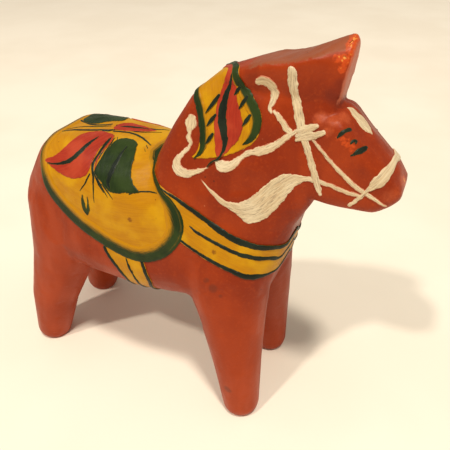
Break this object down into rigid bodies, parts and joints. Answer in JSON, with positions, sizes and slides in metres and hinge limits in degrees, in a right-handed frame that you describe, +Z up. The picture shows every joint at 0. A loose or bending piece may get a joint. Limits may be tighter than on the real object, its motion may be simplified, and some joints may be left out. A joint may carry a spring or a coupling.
{
  "type": "dala horse",
  "caption": "Small whittled wooden horse with a painted saddle, breast strap, girth, bridle and mane panel; stands on its own legs.",
  "frame": {"origin": "centre of the horse's length and width, on the surface it stands on", "axes": "+X towards the horse's nose, +Y to the horse's left, +Z up"},
  "size_m": [0.1019, 0.037, 0.0999],
  "materials": {
    "pine": "bare sanded pine",
    "primer": "matt primer",
    "red_paint": "satin brushed and dipped paint, lightly worn",
    "yellow_paint": "satin hand-brushed paint",
    "green_paint": "satin hand-brushed paint",
    "crimson_paint": "satin hand-brushed paint",
    "dark_paint": "satin hand-brushed paint",
    "cream_paint": "satin hand-brushed paint"
  },
  "bodies": {
    "root": {"wood_core": "pine", "primer": "primer", "red_coat": "red_paint", "saddle_ground": "yellow_paint", "saddle_border": "green_paint", "saddle_red_leaves": "crimson_paint", "saddle_green_leaves": "green_paint", "saddle_leaf_veins": "dark_paint", "saddle_fine_lines": "dark_paint", "saddle_rosette": "dark_paint", "saddle_drops": "green_paint", "breast_strap": "yellow_paint", "breast_strap_lines": "dark_paint", "girth_band": "yellow_paint", "girth_lines": "dark_paint", "mane_panel": "yellow_paint", "mane_panel_border": "green_paint", "mane_leaves": "crimson_paint", "mane_leaf_strokes": "dark_paint", "mane_hatching": "dark_paint", "rear_scrolls": "cream_paint", "front_scrolls": "cream_paint", "neck_plumes": "cream_paint", "crown_straps": "cream_paint", "bridle_crosses": "cream_paint", "cheek_straps": "cream_paint", "reins": "cream_paint", "noseband": "cream_paint", "forehead_star": "cream_paint", "eye_marks": "dark_paint"}
  },
  "joints": []
}
